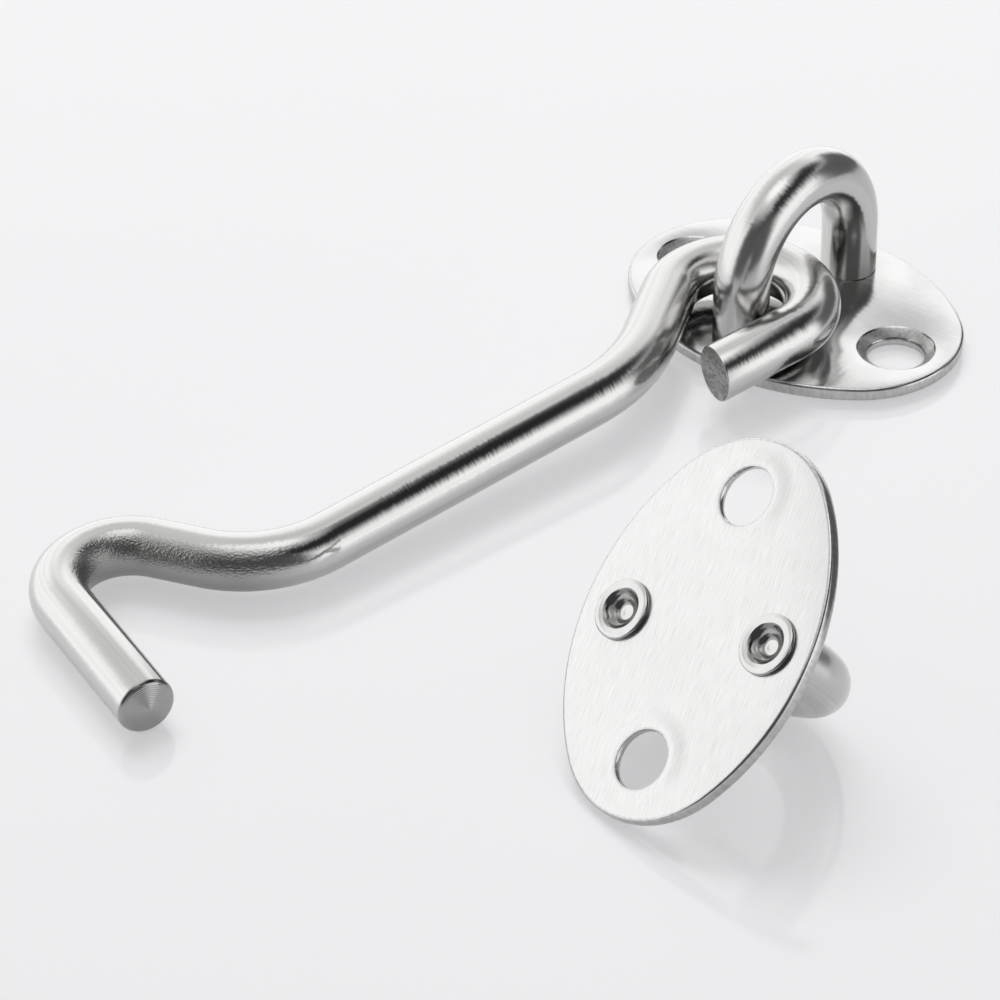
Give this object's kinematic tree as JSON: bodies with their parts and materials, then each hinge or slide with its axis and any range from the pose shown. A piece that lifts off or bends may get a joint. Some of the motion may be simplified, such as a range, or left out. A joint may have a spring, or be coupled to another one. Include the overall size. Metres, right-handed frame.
{
  "type": "hook and eye latch",
  "caption": "Hook and eye latch in bent round steel rod: a hook linked to a riveted staple on an oval screw plate, with a loose matching eye that the hook drops into.",
  "frame": {"origin": "centre of the hook plate's back face, midway between its screw holes", "axes": "+Z out of the surface that the hook plate is screwed to, +Y along its screw holes, +X towards the hook's free end"},
  "size_m": [0.1149, 0.0802, 0.0273],
  "materials": {
    "plate_steel": "brushed",
    "rod_steel": "satin"
  },
  "bodies": {
    "base": {"hook_plate": "plate_steel", "hook_staple": "rod_steel"},
    "hook": {"hook": "rod_steel"},
    "eye": {"eye_plate": "plate_steel", "eye_staple": "rod_steel"}
  },
  "joints": [
    {"name": "hook_swing", "type": "hinge", "parent": "base", "child": "hook", "pos_m": [0.00925, 0, 0.005], "axis": [0.0287, 0, 0.9996], "range_deg": [-145, 28]},
    {"name": "eye_lift", "type": "slide", "parent": "base", "child": "eye", "axis": [0, 0, 1], "range_m": [0, 0.06]}
  ]
}
